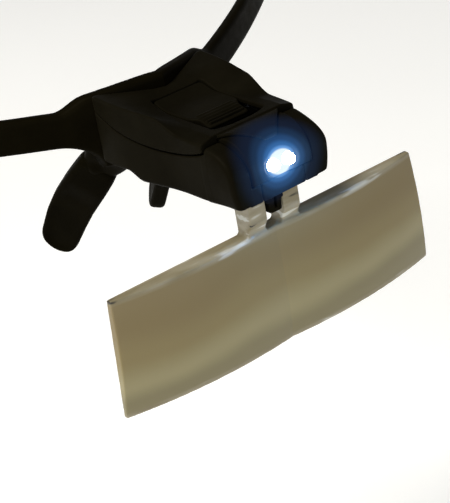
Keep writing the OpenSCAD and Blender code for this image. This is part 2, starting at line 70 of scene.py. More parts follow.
def ease(t):
    """Goes smoothly from 0 to 1 as t goes from 0 to 1."""
    t = np.clip(t, 0, 1)
    return t * t * (3 - 2 * t)


def either(a, b, r=0.0):
    """Union of two fields, with a fillet of about radius r where they meet."""
    h = np.maximum(r - np.abs(a - b), 0) / np.maximum(r, 1e-6)
    return np.minimum(a, b) - h * h * r / 4


def both(a, b, r=0.0):
    """Intersection of two fields, with an edge rounded to about radius r."""
    return -either(-a, -b, r)


def without(a, b, r=0.0):
    """The first field with the second cut out of it."""
    return both(a, -b, r)


def block(p, low, high, r=0.0):
    """A box from low to high, with edges of radius r."""
    q = np.maximum(np.array(low, np.float32) - p, p - np.array(high, np.float32)) + r
    return np.linalg.norm(np.maximum(q, 0), axis=1) + np.minimum(q.max(axis=1), 0) - r


def rod(p, a, b, ra, rb=None):
    """A round bar from a to b whose radius goes from ra to rb."""
    rb = ra if rb is None else rb
    a, b = np.array(a, np.float32), np.array(b, np.float32)
    t = np.clip((p - a) @ (b - a) / ((b - a) @ (b - a)), 0, 1)
    return np.linalg.norm(p - a - t[:, None] * (b - a), axis=1) - (ra + (rb - ra) * t)


def drum(p, axis, centre, radius, low, high, r=0.0):
    """A cylinder along an axis (0, 1 or 2), between low and high, about the centre's other two values."""
    others = [i for i in range(3) if i != axis]
    side = np.hypot(p[:, others[0]] - centre[others[0]], p[:, others[1]] - centre[others[1]]) - radius
    return both(side, np.maximum(low - p[:, axis], p[:, axis] - high), r)


def mirrored(p):
    """The same points folded onto the +x side."""
    return np.column_stack([np.abs(p[:, 0]), p[:, 1], p[:, 2]])


# Meshing a field: surface nets on a grid, pulled onto the surface, with the field's own normals

BLOCK = 6            # grid points along a block's side
REACH = 1.3          # a block is sampled in full when its centre is within this many sides of the surface
PULLS = 3            # times that the points are moved onto the surface
CHUNK = 400_000
CORNERS = [(i, j, k) for i in (0, 1) for j in (0, 1) for k in (0, 1)]
EDGES = [(a, b) for a in range(8) for b in range(a + 1, 8)
         if sum(abs(CORNERS[a][i] - CORNERS[b][i]) for i in range(3)) == 1]


def in_chunks(field, points):
    """The field's values at points, worked out a part at a time to save memory."""
    points = points.astype(np.float32)
    return np.concatenate([field(points[i:i + CHUNK]) for i in range(0, len(points), CHUNK)])


def sample(field, low, step, counts):
    """Field values on a grid. Blocks far from the surface take their centre's value."""
    blocks = [-(-n // BLOCK) for n in counts]
    centres = [low[i] + step * (BLOCK * np.arange(blocks[i]) + (BLOCK - 1) / 2) for i in range(3)]
    coarse = in_chunks(field, np.stack(np.meshgrid(*centres, indexing="ij"), -1).reshape(-1, 3))
    coarse = coarse.reshape(blocks)
    near = np.abs(coarse) < step * BLOCK * REACH
    values, mask = coarse, near
    for axis in range(3):
        values, mask = np.repeat(values, BLOCK, axis), np.repeat(mask, BLOCK, axis)
    where = np.nonzero(mask)
    values[where] = in_chunks(field, np.stack([low[i] + step * where[i] for i in range(3)], -1))
    return values


def slope(field, points, h=0.03):
    """The field's value and gradient at points."""
    spokes = np.array([(1, 1, 1), (1, -1, -1), (-1, 1, -1), (-1, -1, 1)], float)
    ends = [in_chunks(field, points + h * s) for s in spokes]
    return sum(ends) / 4, sum(e[:, None] * s for e, s in zip(ends, spokes)) / (4 * h)


def nets(field, low, high, step):
    """Points and quads of the surface where the field is 0, which lies inside the box from low to high."""
    low = np.array(low, float) - 2 * step
    counts = np.ceil((np.array(high, float) + 2 * step - low) / step).astype(int) + 1
    values = sample(field, low, step, counts)
    inside = values < 0
    cells = [n - 1 for n in values.shape]
    corner = [inside[i:i + cells[0], j:j + cells[1], k:k + cells[2]] for i, j, k in CORNERS]
    count = sum(c.astype(np.int8) for c in corner)
    active = (count > 0) & (count < 8)
    where = np.stack(np.nonzero(active), -1)
    at = [values[tuple((where + c).T)] for c in CORNERS]
    total, hits = np.zeros((len(where), 3)), np.zeros(len(where))
    for a, b in EDGES:
        cross = (at[a] < 0) != (at[b] < 0)
        t = np.where(cross, at[a] / np.where(cross, at[a] - at[b], 1), 0)
        spot = np.array(CORNERS[a]) + t[:, None] * (np.array(CORNERS[b]) - np.array(CORNERS[a]))
        total += np.where(cross[:, None], spot, 0)
        hits += cross
    points = low + step * (where + total / hits[:, None])
    ids = np.full(cells, -1)
    ids[active] = np.arange(len(where))
    quads = []
    for axis in range(3):
        lower = np.take(inside, range(inside.shape[axis] - 1), axis)
        upper = np.take(inside, range(1, inside.shape[axis]), axis)
        spots = np.stack(np.nonzero(lower != upper), -1)
        u, w = (axis + 1) % 3, (axis + 2) % 3
        ring = []
        for du, dw in ((0, 0), (-1, 0), (-1, -1), (0, -1)):
            shift = np.zeros(3, int)
            shift[u], shift[w] = du, dw
            ring.append(ids[tuple((spots + shift).T)])
        quad = np.stack(ring, -1)
        outward = lower[tuple(spots.T)]
        quads.append(np.where(outward[:, None], quad, quad[:, ::-1]))
    return points, np.concatenate(quads)


def to_frame(points):
    """Points of the console's frame in the shared frame, in metres."""
    return points * MM + np.array(ORIGIN)


def write_mesh(name, points, faces):
    """A new object, linked to the scene, with a mesh of the points and faces."""
    mesh = bpy.data.meshes.new(name)
    mesh.from_pydata(to_frame(points).tolist(), [], [list(map(int, f)) for f in faces])
    mesh.update()
    piece = bpy.data.objects.new(name, mesh)
    bpy.context.scene.collection.objects.link(piece)
    return piece


def applied(piece):
    """The piece with its modifiers made part of its mesh."""
    evaluated = piece.evaluated_get(bpy.context.evaluated_depsgraph_get())
    mesh = bpy.data.meshes.new_from_object(evaluated)
    piece.modifiers.clear()
    piece.data = mesh
    return piece


def solid(name, field, low, high, step, keep=1.0):
    """A piece with the field's shape. keep is the share of faces left after thinning the flat areas."""
    points, quads = nets(field, low, high, step)
    for _ in range(PULLS):
        value, g = slope(field, points)
        move = value / np.maximum((g * g).sum(1), 0.3)
        points = points - np.clip(move, -step / 2, step / 2)[:, None] * g
    piece = write_mesh(name, points, quads)
    if keep < 1:
        thinner = piece.modifiers.new("thinner", "DECIMATE")
        thinner.ratio = keep
        applied(piece)
    mesh = piece.data
    co = np.zeros(len(mesh.vertices) * 3)
    mesh.vertices.foreach_get("co", co)
    points = (co.reshape(-1, 3) - np.array(ORIGIN)) / MM
    g = slope(field, points)[1]
    g /= np.maximum(np.linalg.norm(g, axis=1), 1e-6)[:, None]
    mesh.polygons.foreach_set("use_smooth", [True] * len(mesh.polygons))
    mesh.normals_split_custom_set_from_vertices(g.tolist())
    return piece


# The console's outline, shared by its shells

FRONT_HALF = 13.4
REAR_HALF = 16
FLARE = (16, 40)
ROOF = 14.7
POD_Y, POD_Z, POD_R = 6.2, 6.0, 7.9
LAMP_X, LAMP_Z = 2.1, 7.2
LIP_R, LIP_T = 8.7, 0.7
LIP_TIP, LIP_POINT = 0.9, 1.6    # where the lip's point ends, and half its width there
CHEEK_IN = 8.6
CHEEK_END = 8.3
SEAM = 0.42
WALL = 1.2


def bar_front(x):
    """The front of the brow bar, swept back to both sides. The console ends against it."""
    x = np.abs(x)
    return 38 + 0.45 * x + 0.0032 * x * x


def console_half(y):
    """Half the console's width, which flares towards the bar."""
    return FRONT_HALF + (REAR_HALF - FRONT_HALF) * ease((y - FLARE[0]) / (FLARE[1] - FLARE[0]))


def side_half(y, z):
    """Half the console's width: its sides bulge a little at the front and draw in at their foot."""
    belly = np.maximum(0.25 - 0.026 * (z - 6.6) ** 2, -0.9)
    return console_half(y) + belly * (1 - ease((y - 2) / 10))


def part_height(y):
    """The two shells meet along a shallow curve, lowest near the middle."""
    return 9.3 + 0.012 * (y - 23) ** 2


def roof_height(x, y):
    """The roof: flat in the middle, with shoulders that fall at the front and sweep up at the back."""
    base = ROOF + 2.2 * ease((y - 28) / 10)
    edge = ROOF - 1.0 + 0.055 * np.maximum(y - 8, 0) + 2.9 * ease((y - 16.5) / 9)
    start = 9.9 - 0.0093 * np.maximum(y - 11, 0) ** 2
    span = console_half(y) - start
    t = np.maximum(np.abs(x) - start, 0) / span
    return base + (edge - base) * t


def console_body(p, inset=0.0):
    """The console's whole outer form, or the same form shrunk by an inset."""
    x, y, z = p.T
    side = (np.abs(x) - side_half(y, z)) + inset
    ends = np.maximum(FRONT_Y - y, y - bar_front(x) + 0.1) + inset
    plan = both(side, ends, 2.0)
    top = (z - roof_height(x, y)) * 0.95 + inset
    floor = 2.0 * ease((y - 31) / 5) - z + inset
    return both(both(plan, top, 0.6), floor, 1.2)


def lip(p):
    """A thin pointed lip that reaches forward from the roof over the pod."""
    x, y, z = p.T
    r = np.hypot(y - POD_Y, z - POD_Z)
    shell = np.maximum(r - LIP_R, LIP_R - LIP_T - r)
    share = np.clip((np.abs(x) - LIP_POINT) / (CHEEK_IN - LIP_POINT), 0, 1.3)
    reach = LIP_TIP + (CHEEK_END - LIP_TIP) * share
    ahead = (reach - y) * 0.75
    sides = np.abs(x) - (CHEEK_IN - 0.15)
    return both(both(shell, ahead, 0.3), np.maximum(np.maximum(sides, y - 11), POD_Z - z), 0.2)


COVER_HALF, COVER_FRONT, COVER_BACK = 7.0, 14.8, 34.0
GAP_FRONT = 10.0
RAIL_LOW, RAIL_TOP = 13.2, 13.9
DIP_BACK = 21.5                  # the cover narrows and dips in front of this


def upper_shell_field(p):
    """The roof and its sides, with the lip and the cover's opening."""
    x, y, z = p.T
    body = console_body(p)
    above = part_height(y) + SEAM / 2 - z
    behind = CHEEK_END + SEAM - y
    shell = both(both(body, above, 0.25), behind, 0.3)
    hollow = both(console_body(p, WALL), part_height(y) - 1 - z)
    hollow = both(hollow, CHEEK_END + WALL - y)
    shell = without(shell, hollow)
    room = np.maximum(np.hypot(y - POD_Y, z - POD_Z) - LIP_R + LIP_T, np.abs(x) - CHEEK_IN)
    shell = either(without(shell, room), lip(p), 0.2)
    fit = COVER_HALF + 0.3
    opening = block(p, (-fit, GAP_FRONT, 10), (fit, COVER_BACK + 0.3, 30), 0.8)
    opening = both(opening, GAP_FRONT + 0.03 * x * x - y, 0.8)
    return without(shell, opening, 0.3)


def gap_floor_field(p):
    """The curved floor of the finger gap in front of the cover, and the wall and shelf behind it; the piece
    is painted near black to stand in for the shade in the gap.
    """
    x, y, z = p.T
    r = np.hypot(y - POD_Y, z - POD_Z)
    floor = both(np.abs(r - POD_R - 0.4) - 0.25, np.maximum(8.5 - y, 10 - z), 0.1)
    floor = either(floor, block(p, (-20, 14, 9.2), (20, 14.6, 13.1)), 0.3)
    floor = either(floor, block(p, (-7.3, 14, 12.5), (7.3, 22, 13.1)), 0.2)
    return both(floor, np.abs(x) - COVER_HALF - 0.8, 0.1)


def cheek(p):
    """One side of the console's front, a rounded cheek beside the pod."""
    x, y, z = p.T
    low_z, reach_y, reach_z = 6.8, 9.6, 6.35
    q = np.hypot((reach_y - np.minimum(y, reach_y)) / (reach_y - FRONT_Y), np.maximum(z - low_z, 0) / reach_z)
    crown = (q - 1) * 7.6
    side = np.abs(x) - side_half(y, z)
    shape = both(crown, side, 1.1 + 0.3 * ease((z - 7) / 4))
    behind = np.minimum(y - CHEEK_END, np.maximum(y - 9.6, z - 11.2))
    shape = both(shape, behind, 0.6)
    shape = both(shape, -z, 0.9)
    return both(shape, CHEEK_IN - np.abs(x), 0.35)


SOCKET_HALF, SOCKET_BACK, SOCKET_TOP = 8.5, 10.6, 4.15
CHIN_HALF, CHIN_BACK, CHIN_GAP = 6.0, 1.3, 0.18
SHELL_SCREWS = (9.6, 21.2), (10.9, 30)
SEAT_R = 1.9                     # radius of a screw head's seat


def lower_shell_field(p):
    """The tray, its cheeks and the wings beside the chin, with the switch's slot and the screws' seats."""
    y, z = p[:, 1], p[:, 2]
    body = console_body(p)
    below = z - part_height(y) + SEAM / 2
    behind = 7.5 - y
    shell = both(both(body, below, 0.25), behind)
    hollow = np.maximum(console_body(p, WALL), WALL - z)
    shell = without(shell, hollow)
    shell = either(shell, cheek(p), 0.15)
    wing_in = CHIN_HALF + CHIN_GAP
    wing = block(mirrored(p), (wing_in, FRONT_Y + 0.05, 0), (CHEEK_IN + 1, CHIN_BACK, SOCKET_TOP), 0.25)
    shell = either(shell, wing)
    bay = block(p, (-CHEEK_IN, CHIN_BACK, -2), (CHEEK_IN, SOCKET_BACK + 0.1, 20))
    bay = np.minimum(bay, block(p, (-wing_in, -4, -2), (wing_in, 2, 20)))
    bay = np.minimum(bay, block(p, (-CHEEK_IN, -4, SOCKET_TOP), (CHEEK_IN, 9, 20)))
    shell = without(shell, bay)
    slot = block(p, (10, 11.6, 4.1), (20, 17.8, 6.6), 0.5)
    shell = without(shell, slot, 0.3)
    for spot in SHELL_SCREWS:
        shell = without(shell, drum(mirrored(p), 2, (*spot, 0), SEAT_R, -1, 0.95), 0.2)
    return shell


def battery_cover_field(p):
    """The cover: a dished lid on two rails, with ridges for the thumb at its front."""
    x, y, z = p.T
    top = roof_height(x * 0, y) + 0.15 - 0.9 * ease((19.5 - y) / 4.5)
    dish = 0.25 * np.maximum(0, 1 - (x / COVER_HALF) ** 2) * ease((20 - y) / 4)
    half = COVER_HALF - 1.4 * ease((DIP_BACK - y) / 3.5)
    plan = both(np.abs(x) - half, np.maximum(COVER_FRONT - y, y - COVER_BACK), 1.2)
    lid = both(both(plan, (z - top + dish) * 0.95, 0.5), RAIL_LOW - z, 0.2)
    rails = block(p, (-7.75, DIP_BACK, RAIL_LOW), (7.75, COVER_BACK, RAIL_TOP), 0.15)
    lid = either(lid, rails)
    for i in range(5):
        spot = COVER_FRONT + 1.2 + 1.05 * i, 14.15 + 0.13 * i
        ridge = rod(p, (-4.6, *spot), (4.6, *spot), 0.32)
        lid = either(lid, ridge, 0.35)
    return lid


PRONG_IN, PRONG_OUT, PRONG_FRONT, PRONG_BACK = 2.4, 7.2, 3.7, 9.15
SLOT_GAP = 0.06


def lens_socket_field(p):
    """The chin and the block behind it, with the prongs' slots and the split tongue between them."""
    chin = block(p, (-CHIN_HALF, FRONT_Y, 0), (CHIN_HALF, CHIN_BACK + 0.5, SOCKET_TOP), 0.35)
    core = block(p, (-SOCKET_HALF + 0.1, CHIN_BACK, 0), (SOCKET_HALF - 0.1, SOCKET_BACK, SOCKET_TOP), 0.25)
    tongue = block(p, (-2.3, 3, -3.2), (2.3, 7, 0.5), 0.3)
    tip = block(p, (-1.8, 3.1, -6.1), (1.8, 6.9, 0.5), 0.7)
    shape = either(either(chin, core, 0.2), either(tongue, tip, 0.5), 0.4)
    slots = block(mirrored(p), (PRONG_IN - SLOT_GAP, PRONG_FRONT - SLOT_GAP, -1),
                  (PRONG_OUT + SLOT_GAP, PRONG_BACK + 0.11, 6))
    shape = without(shape, slots, 0.25)
    slit = block(p, (-0.35, 2, -4.8), (0.35, 4.6, -1.2), 0.2)
    return without(shape, slit, 0.25)


POD_HALF, POD_FOOT, POD_END = 8.28, 4.4, math.radians(66)


def lamp_pod_field(p):
    """The pod: a hollow sector of a drum, with a shallow dish and two bores for the lamps in its face."""
    x, y, z = p.T
    r = np.hypot(y - POD_Y, z - POD_Z)
    back = (y - POD_Y) * math.sin(POD_END) - (z - POD_Z) * math.cos(POD_END)
    outer = both(r - POD_R, np.abs(x) - POD_HALF, 0.35)
    outer = both(both(outer, POD_FOOT - z, 0.3), back, 0.2)
    hollow = both(r - POD_R + WALL, np.abs(x) - 6.9)
    shape = without(outer, hollow)
    oblong = np.hypot(np.maximum(np.abs(x) - LAMP_X, 0), z - LAMP_Z)
    dish = both(oblong - 2.5, y - FRONT_Y - 0.25, 0.6)
    shape = without(shape, dish, 0.5)
    bores = np.hypot(np.abs(x) - LAMP_X, z - LAMP_Z) - 1.53
    shape = without(shape, np.maximum(bores, y - 3), 0.15)
    return without(shape, np.maximum(r - 1.06, 6.3 - np.abs(x)))


def lamp_field(p):
    """The left lamp: a clear body with a domed front, a flange and two legs."""
    y = p[:, 1]
    tip, back = -1.45, 1.4
    body = both(rod(p, (LAMP_X, tip, LAMP_Z), (LAMP_X, back, LAMP_Z), 1.35), y - back, 0.1)
    shape = either(body, drum(p, 1, (LAMP_X, 0, LAMP_Z), 1.85, 0.45, 1.35, 0.15), 0.2)
    for side in (-0.65, 0.65):
        shape = either(shape, drum(p, 1, (LAMP_X + side, 0, LAMP_Z), 0.24, 1.3, 3.35))
    return shape


# Brow frame: the bar, its hump over the console, the flange under it, the saddle and the hinges

ARM_ELBOW, ARM_END = (12.4, 55.5, -3.0), (12.2, 60.5, -9.0)
PAD_TIP = np.array([16.2, 77, -27.6])
PAD_WIDE = np.array([-0.57, -0.6, -0.56])
HINGE_X, HINGE_Y, HINGE_R = 72.0, 93.5, 3.2
KNUCKLE = (10.6, 19.6)
LEAF = (12.5, 17.5)
FRAME_SCREW = (6.5, 38.3)


def bar_bottom(x):
    """The bar's lower edge outside the console, which climbs outwards."""
    return 6.9 + 0.066 * (np.abs(x) - 24)


def bar_top(x):
    """The bar's upper edge climbs to a hump over the console that peaks on the centre plane."""
    out = np.sqrt(x * x + 4)
    return bar_bottom(x) + 8.6 + 3.2 * (1 - ease((out - 15.5) / 7)) + 0.2 * np.maximum(16 - out, 0)


def on_pad(p):
    """How far points are along the left pad from its stalk's end, across it and out of its face."""
    along = PAD_TIP - np.array(ARM_END)
    along = along / np.linalg.norm(along)
    wide = PAD_WIDE - along * (PAD_WIDE @ along)
    wide /= np.linalg.norm(wide)
    q = p - np.array(ARM_END)
    return q @ along, q @ wide, q @ np.cross(along, wide)


def saddle_arm(p):
    """The left arm: a broad flat blade from the frame into the pad's collar."""
    s, w, t = on_pad(p)
    half = 3.4 + 2.0 * ease((-s - 3) / 10)
    across = np.abs(w - 0.4 * ease((-s - 8) / 8)) - half
    through = np.abs(t) - 1.7 - 1.4 * ease((-s - 4) / 10)
    return both(both(across, through, 2.4), np.abs(s + 9) - 10.5, 1.0)


def brow_frame_field(p):
    """The swept bar, the flange under the console, the saddle's arms and web, and the hinges' knuckles."""
    x, y, z = p.T
    m = mirrored(p)
    lean = 1 / np.sqrt(1 + (0.45 + 0.0064 * np.abs(x)) ** 2)
    front = bar_front(x)
    across = np.maximum(front - y, y - front - 4.0) * lean
    skirt = np.where(np.abs(x) < 24, np.sqrt(np.clip(1 - ((24 - np.abs(x)) / 9) ** 2, 0, 1)), 1)
    foot = np.where(np.abs(x) < 15, 0.0, bar_bottom(x) * skirt)
    upright = both(z - bar_top(x), (foot - z) * 0.8, 1.2)
    bar = both(both(across, upright, 1.5), np.abs(x) - HINGE_X - 1)
    flange = block(p, (-12.5, 36.4, 0), (12.5, 48.5, 1.95), 0.3)
    shape = either(bar, flange, 0.8)
    web = rod(m, (0, 55.3, -1.9), ARM_ELBOW, 1.7)
    web = either(web, rod(m, (0, 58.6, -6.3), (7.5, 59.9, -7.8), 1.7), 2.5)
    web = either(web, rod(m, (0, 56.8, -4.2), (9.5, 57.6, -5.6), 1.7), 2.0)
    shape = either(shape, either(saddle_arm(m), web, 2.0), 3.5)
    knuckle = drum(m, 2, (HINGE_X, HINGE_Y, 0), HINGE_R, *KNUCKLE, 0.5)
    root = block(m, (HINGE_X - HINGE_R, bar_front(HINGE_X) + 0.6, KNUCKLE[0]),
                 (HINGE_X + HINGE_R, HINGE_Y, KNUCKLE[1]), 0.6)
    shape = either(shape, either(knuckle, root, 0.3), 1.2)
    gap = block(m, (HINGE_X - 8, HINGE_Y - HINGE_R - 0.5, LEAF[0] - 0.15),
                (HINGE_X + 8, HINGE_Y + 8, LEAF[1] + 0.15))
    shape = without(shape, gap, 0.25)
    shape = without(shape, drum(m, 2, (HINGE_X, HINGE_Y, 0), SEAT_R, KNUCKLE[1] - 1, 25), 0.15)
    return without(shape, drum(m, 2, (*FRAME_SCREW, 0), SEAT_R, -2, 1.05), 0.15)


def nose_pad_field(p):
    """The left pad: a soft paddle, dished on its face, whose top is a collar round the saddle's arm."""
    s, w, t = on_pad(p)
    half = np.interp(s, (-9, -5, 1, 7, 13, 19, 27), (4.9, 5.6, 6.4, 6.7, 6.2, 5.4, 4.6))
    lean = np.interp(s, (-9, 2, 8, 14, 20, 27), (-0.3, -0.7, -0.8, -0.4, 0.4, 1.2))
    end = np.hypot(np.maximum(s - 20.4, 0), w - lean) - 5.4
    plan = both(both(np.abs(w - lean) - half, end, 1.5), -9.0 - s, 2.5)
    reach = np.clip(-plan / 3.0, 0, 1)
    thick = 2.7 - 0.5 * ease((s + 2) / 14)
    dish = 0.8 * ease(reach) * ease((s + 1) / 7)
    slab = np.maximum(t - thick + dish * 0.5, -t - thick + dish)
    return both(plan, slab, 1.6)


# Temples

TEMPLE_T = 3.0
MID_Z = sum(LEAF) / 2
TIP_START, TEMPLE_LEN, DROOP, DROOP_START = 66.0, 112.0, 24.0, 76.0
DROOP_LEN = TEMPLE_LEN - DROOP_START
TIP_HALF = 3.7
TANG_END = 74
GROOVE_X, GROOVE = 1.75, (14, 58)    # the groove's middle beside the temple's, and its two ends


def temple_line(d):
    """Height of the temple's middle line at a distance behind the hinge."""
    return MID_Z - DROOP * np.clip((d - DROOP_START) / DROOP_LEN, 0, 2) ** 1.5


def temple_field(p):
    """The left temple: a leaf in the hinge, then a slim arm that thins towards its rubber tip."""
    x, y, z = p.T
    d = y - HINGE_Y
    leaf = drum(p, 2, (HINGE_X, HINGE_Y, 0), HINGE_R - 0.4, LEAF[0], LEAF[1], 0.3)
    strap = block(p, (HINGE_X - 1.5, HINGE_Y, LEAF[0]), (HINGE_X + 1.5, HINGE_Y + 9, LEAF[1]), 0.4)
    half = 3.0 + 1.2 * (1 - ease((d - 6) / 52))
    arm = both(np.abs(x - HINGE_X) - TEMPLE_T / 2, np.abs(z - MID_Z) - half, 1.3)
    arm = both(arm, np.maximum(HINGE_R + 2 - d, d - TIP_START), 1.2)
    tang = block(p, (HINGE_X - 1, HINGE_Y + 60, MID_Z - 1.8),
                 (HINGE_X + 1, HINGE_Y + TANG_END, MID_Z + 1.8), 0.3)
    shape = either(either(either(leaf, strap), arm, 0.8), tang)
    for groove_x in (HINGE_X - GROOVE_X, HINGE_X + GROOVE_X):
        start, end = ((groove_x, HINGE_Y + d, MID_Z) for d in GROOVE)
        shape = without(shape, rod(p, start, end, 0.75, 0.45), 0.4)
    return without(shape, drum(p, 2, (HINGE_X, HINGE_Y, 0), 0.96, 0, 40))


def temple_tip_field(p):
    """The left temple's rubber tip: it droops behind the ear, with fine ribs where it meets the arm."""
    x, y, z = p.T
    d = y - HINGE_Y
    end = TEMPLE_LEN - TIP_HALF
    line = temple_line(np.minimum(d, end))
    fall = 1.5 * DROOP * np.sqrt(np.clip((np.minimum(d, end) - DROOP_START) / DROOP_LEN, 0, 1)) / DROOP_LEN
    off = (z - line) / np.sqrt(1 + fall * fall)
    beyond = np.hypot(d - end, z - temple_line(np.array([end]))[0])
    height = np.where(d > end, beyond, np.abs(off)) - TIP_HALF
    shape = both(height, np.abs(x - HINGE_X) - TEMPLE_T / 2 - 0.9, 1.8)
    shape = both(shape, TIP_START + 0.1 - d, 0.8)
    ribs = 0.22 * np.cos((d - 70) / 1.6 * 2 * np.pi) * ease((d - 68) / 1) * ease((82 - d) / 1)
    shape = shape - ribs * ease((3.2 - np.abs(off)) / 0.8)
    pocket = block(p, (HINGE_X - 1.1, HINGE_Y + 50, MID_Z - 1.9),
                   (HINGE_X + 1.1, HINGE_Y + TANG_END + 0.2, MID_Z + 1.9))
    return without(shape, pocket)


def other_side(field):
    """The same field on the wearer's right."""
    return lambda p: field(p * np.array([-1, 1, 1], p.dtype))


# Lens plate: a flat back, two convex fronts that meet at a seam, and two prongs

PLATE_TOP, PLATE_FOOT, PLATE_BACK = -10.1, -38.6, 9.2
TOP_HALF, FOOT_HALF = 43.6, 45.35
LENS_T, LENS_R, LENS_X = 5.9, 120.0, 15.0


def lens_plate_field(p):
    """The plate: two spherical fronts on one flat back, a little wider at the foot, and the prongs."""
    x, y, z = p.T
    mid = (PLATE_TOP + PLATE_FOOT) / 2
    bow = np.sqrt((np.abs(x) - LENS_X) ** 2 + (z - mid) ** 2 + (y - (PLATE_BACK - LENS_T + LENS_R)) ** 2)
    slab = both(bow - LENS_R, y - PLATE_BACK, 0.25)
    grow = (FOOT_HALF - TOP_HALF) / (PLATE_TOP - PLATE_FOOT)
    ends = np.abs(x) - TOP_HALF - grow * (PLATE_TOP - z)
    rim = np.maximum(z - PLATE_TOP, PLATE_FOOT - z)
    plate = both(both(slab, rim, 0.35), ends, 0.35)
    prongs = block(mirrored(p), (PRONG_IN, PRONG_FRONT, PLATE_TOP - 2), (PRONG_OUT, PRONG_BACK, 4), 0.3)
    prongs = both(prongs, PRONG_FRONT + 1.3 * ease((-6.5 - z) / 3) - y, 0.3)
    return either(plate, prongs, 0.8)


# Materials


def nodes_of(material):
    """The material's node tree and its shader."""
    material.use_nodes = True
    return material.node_tree, material.node_tree.nodes["Principled BSDF"]


def grain(tree, scale, detail=4.0, rough=0.6):
    """A noise in the object's own space, its scale in features per metre."""
    place = tree.nodes.new("ShaderNodeTexCoord")
    noise = tree.nodes.new("ShaderNodeTexNoise")
    noise.inputs["Scale"].default_value = scale
    noise.inputs["Detail"].default_value = detail
    noise.inputs["Roughness"].default_value = rough
    tree.links.new(place.outputs["Object"], noise.inputs["Vector"])
    return noise.outputs["Fac"]


def mixed(tree, factor, low, high, start=0.35, end=0.65):
    """A colour between low and high, by a factor that runs from start to end."""
    ramp = tree.nodes.new("ShaderNodeValToRGB")
    ramp.color_ramp.elements[0].position = start
    ramp.color_ramp.elements[0].color = (*low, 1)
    ramp.color_ramp.elements[1].position = end
    ramp.color_ramp.elements[1].color = (*high, 1)
    tree.links.new(factor, ramp.inputs["Fac"])
    return ramp.outputs["Color"]


def ranged(tree, factor, low, high):
    """A value between low and high, by a noise."""
    spread = tree.nodes.new("ShaderNodeMapRange")
    spread.inputs["From Min"].default_value = 0.3
    spread.inputs["From Max"].default_value = 0.7
    spread.inputs["To Min"].default_value = low
    spread.inputs["To Max"].default_value = high
    tree.links.new(factor, spread.inputs["Value"])
    return spread.outputs["Result"]


def bumped(tree, shader, height, strength, distance):
    """Gives the shader a bump by a height."""
    bump = tree.nodes.new("ShaderNodeBump")
    bump.inputs["Strength"].default_value = strength
    bump.inputs["Distance"].default_value = distance
    tree.links.new(height, bump.inputs["Height"])
    tree.links.new(bump.outputs["Normal"], shader.inputs["Normal"])


def moulded(name, dark, light, rough, texture=2600, depth=0.00004, sheen=0.0, gloss=0.006):
    """Moulded plastic or rubber: a fine spark-eroded grain, cloudy colour and uneven gloss."""
    material = bpy.data.materials.new(name)
    tree, shader = nodes_of(material)
    clouds, fine = grain(tree, 90, 3), grain(tree, texture, 2)
    tree.links.new(mixed(tree, clouds, dark, light), shader.inputs["Base Color"])
    tree.links.new(ranged(tree, grain(tree, 350, 5), *rough), shader.inputs["Roughness"])
    bumped(tree, shader, fine, 0.35, depth)
    shader.inputs["Specular IOR Level"].default_value = gloss
    shader.inputs["Specular Tint"].default_value = (1.0, 0.9, 0.68, 1)
    shader.inputs["Sheen Weight"].default_value = sheen
    shader.inputs["Sheen Roughness"].default_value = 0.35
    return material


LAMP_OUT = 0.0026    # the CAD's lamps stand this far out of the pod's face
GLOW_END = 0.026     # the glow ends where the distances from both lamps add up to this


def paint_lamp_glow(material):
    """Painted blue light of the lamps on the plastic round them: an emission that fades with the distance
    from both lamps.
    """
    tree, shader = nodes_of(material)
    place = tree.nodes.new("ShaderNodeTexCoord")
    spans = []
    for name in ("lamp_right", "lamp_left"):
        low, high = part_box(name)
        span = tree.nodes.new("ShaderNodeVectorMath")
        span.operation = "DISTANCE"
        tree.links.new(place.outputs["Object"], span.inputs[0])
        span.inputs[1].default_value = ((low.x + high.x) / 2, low.y + LAMP_OUT, (low.z + high.z) / 2)
        spans.append(span.outputs["Value"])
    share = tree.nodes.new("ShaderNodeMapRange")
    share.inputs["From Max"].default_value = GLOW_END
    tree.links.new(maths(tree, "ADD", *spans), share.inputs["Value"])
    steps = (
        (0.0, (0.9, 0.97, 1)), (0.25, (0.8, 0.93, 1)), (0.28, (0.12, 0.32, 0.72)), (0.33, (0.03, 0.13, 0.36)),
        (0.42, (0.015, 0.06, 0.17)), (0.54, (0.007, 0.026, 0.07)), (0.68, (0.003, 0.009, 0.027)),
        (1.0, (0, 0, 0)))
    tree.links.new(ramped(tree, share.outputs["Result"], steps), shader.inputs["Emission Color"])
    shader.inputs["Emission Strength"].default_value = 1.0
    return material


def metal(name, dark, light, rough):
    """Bare metal, with cloudy colour, uneven gloss and a very fine grain."""
    material = bpy.data.materials.new(name)
    tree, shader = nodes_of(material)
    shader.inputs["Metallic"].default_value = 1
    tree.links.new(mixed(tree, grain(tree, 500, 4), dark, light), shader.inputs["Base Color"])
    tree.links.new(ranged(tree, grain(tree, 1500, 4), *rough), shader.inputs["Roughness"])
    bumped(tree, shader, grain(tree, 3000, 2), 0.2, 0.00002)
    return material


def ramped(tree, factor, steps):
    """A colour ramp through (position, colour) steps, eased between them."""
    ramp = tree.nodes.new("ShaderNodeValToRGB")
    ramp.color_ramp.interpolation = "EASE"
    elements = ramp.color_ramp.elements
    for element, (spot, colour) in zip((elements[0], elements[1]), (steps[0], steps[-1])):
        element.position, element.color = spot, (*colour, 1)
    for spot, colour in steps[1:-1]:
        elements.new(spot).color = (*colour, 1)
    tree.links.new(factor, ramp.inputs["Fac"])
    return ramp.outputs["Color"]


def maths(tree, kind, a, b):
    """The result of a Math node of a kind, of two values or sockets."""
    node = tree.nodes.new("ShaderNodeMath")
    node.operation = kind
    for value, socket in zip((a, b), node.inputs):
        if isinstance(value, (int, float)):
            socket.default_value = value
        else:
            tree.links.new(value, socket)
    return node.outputs["Value"]


